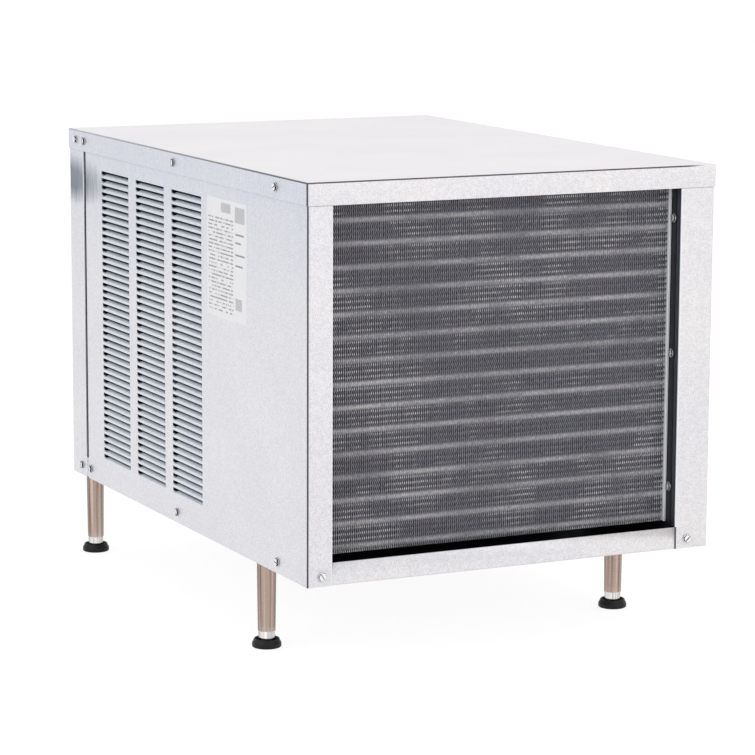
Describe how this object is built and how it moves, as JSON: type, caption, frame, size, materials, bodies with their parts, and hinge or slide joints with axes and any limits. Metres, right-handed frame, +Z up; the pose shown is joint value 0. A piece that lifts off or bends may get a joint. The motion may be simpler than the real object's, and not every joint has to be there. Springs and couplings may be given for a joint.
{
  "type": "refrigeration condensing unit",
  "caption": "Air-cooled condensing unit in a louvred sheet-metal casing on adjustable legs, with a front condenser, fan, sealed compressor, receiver and recessed service valves.",
  "frame": {"origin": "on the floor, under the middle of the casing", "axes": "+Z up, -Y out of the condenser face, +X to the right of someone who faces the condenser"},
  "size_m": [0.5084, 0.721, 0.5376],
  "materials": {
    "galvanised_sheet": "bright spangled zinc coating",
    "foil_label": "matt foil with ruled lines",
    "zinc_screw": "zinc plated",
    "nickel_leg": "brushed nickel",
    "bright_collar": "turned and plated",
    "black_rubber": "moulded",
    "fin_aluminium": "mill finish",
    "copper_tube": "bare copper",
    "fan_aluminium": "mill finish",
    "plain_steel": "turned",
    "motor_enamel": "satin enamel",
    "black_enamel": "gloss enamel",
    "iron_casting": "as cast",
    "dark_plastic": "moulded",
    "brass_valve": "machined",
    "drier_enamel": "satin enamel",
    "grey_plastic": "moulded",
    "red_plastic": "moulded"
  },
  "bodies": {
    "casing": {"base_pan": "galvanised_sheet", "casing_screws": "zinc_screw", "coil_plate_left": "galvanised_sheet", "coil_plate_right": "galvanised_sheet", "compressor_base": "black_enamel", "compressor_bolts": "zinc_screw", "compressor_crankcase": "iron_casting", "compressor_grommets": "black_rubber", "compressor_lower_shell": "black_enamel", "compressor_stator": "plain_steel", "compressor_upper_shell": "black_enamel", "condensate_line": "copper_tube", "condenser_fins": "fin_aluminium", "condenser_tubes": "copper_tube", "connection_pocket": "galvanised_sheet", "contactor": "dark_plastic", "cover_screws": "zinc_screw", "discharge_line": "copper_tube", "electrical_box": "galvanised_sheet", "electrical_cover": "galvanised_sheet", "fan_motor": "motor_enamel", "fan_shroud": "galvanised_sheet", "filter_drier": "drier_enamel", "leg_back_left": "nickel_leg", "leg_back_right": "nickel_leg", "leg_front_left": "nickel_leg", "leg_front_right": "nickel_leg", "leg_nuts": "zinc_screw", "liquid_line": "copper_tube", "liquid_service_valve": "brass_valve", "motor_bracket": "galvanised_sheet", "pressure_control": "grey_plastic", "rating_plate": "foil_label", "rear_panel": "galvanised_sheet", "receiver": "black_enamel", "receiver_valve": "brass_valve", "return_bends": "copper_tube", "side_panel_left": "galvanised_sheet", "side_panel_right": "galvanised_sheet", "suction_line": "copper_tube", "suction_service_valve": "brass_valve", "terminal_cover": "dark_plastic", "top_cover": "galvanised_sheet"},
    "fan": {"fan_blades": "fan_aluminium", "fan_hub": "plain_steel", "motor_shaft": "plain_steel"},
    "pump_rotor": {"compressor_rotor": "plain_steel"},
    "liquid_stem": {"liquid_valve_stem": "brass_valve"},
    "suction_stem": {"suction_valve_stem": "brass_valve"},
    "king_stem": {"receiver_valve_stem": "brass_valve"},
    "reset": {"reset_button": "red_plastic"},
    "plunger": {"contactor_plunger": "dark_plastic"},
    "foot_front_left": {"foot_insert_front_left": "bright_collar", "foot_pad_front_left": "black_rubber"},
    "foot_front_right": {"foot_insert_front_right": "bright_collar", "foot_pad_front_right": "black_rubber"},
    "foot_back_left": {"foot_insert_back_left": "bright_collar", "foot_pad_back_left": "black_rubber"},
    "foot_back_right": {"foot_insert_back_right": "bright_collar", "foot_pad_back_right": "black_rubber"}
  },
  "joints": [
    {"name": "fan_spin", "type": "hinge", "parent": "casing", "child": "fan", "pos_m": [-0.006, -0.236, 0.3211], "axis": [0, -1, 0], "continuous": true},
    {"name": "compressor_spin", "type": "hinge", "parent": "casing", "child": "pump_rotor", "pos_m": [-0.105, 0.0475, 0.1688], "axis": [0, 0, 1], "continuous": true},
    {"name": "liquid_valve_turn", "type": "hinge", "parent": "casing", "child": "liquid_stem", "pos_m": [-0.095, 0.3133, 0.2606], "axis": [0, 0, 1], "range_deg": [0, 90]},
    {"name": "suction_valve_turn", "type": "hinge", "parent": "casing", "child": "suction_stem", "pos_m": [0.015, 0.3133, 0.2641], "axis": [0, 0, 1], "range_deg": [0, 90]},
    {"name": "receiver_valve_turn", "type": "hinge", "parent": "casing", "child": "king_stem", "pos_m": [0.081, 0.1875, 0.1898], "axis": [0, 0, 1], "range_deg": [0, 90]},
    {"name": "reset_press", "type": "slide", "parent": "casing", "child": "reset", "axis": [0, 0, -1], "range_m": [0, 0.003], "stiffness_N_per_m": 400, "springref_m": -0.002},
    {"name": "contactor_pull", "type": "slide", "parent": "casing", "child": "plunger", "axis": [1, 0, 0], "range_m": [0, 0.004], "stiffness_N_per_m": 500, "springref_m": -0.002},
    {"name": "foot_front_left_level", "type": "slide", "parent": "casing", "child": "foot_front_left", "axis": [0, 0, -1], "range_m": [0, 0.019]},
    {"name": "foot_front_right_level", "type": "slide", "parent": "casing", "child": "foot_front_right", "axis": [0, 0, -1], "range_m": [0, 0.019]},
    {"name": "foot_back_left_level", "type": "slide", "parent": "casing", "child": "foot_back_left", "axis": [0, 0, -1], "range_m": [0, 0.019]},
    {"name": "foot_back_right_level", "type": "slide", "parent": "casing", "child": "foot_back_right", "axis": [0, 0, -1], "range_m": [0, 0.019]}
  ]
}
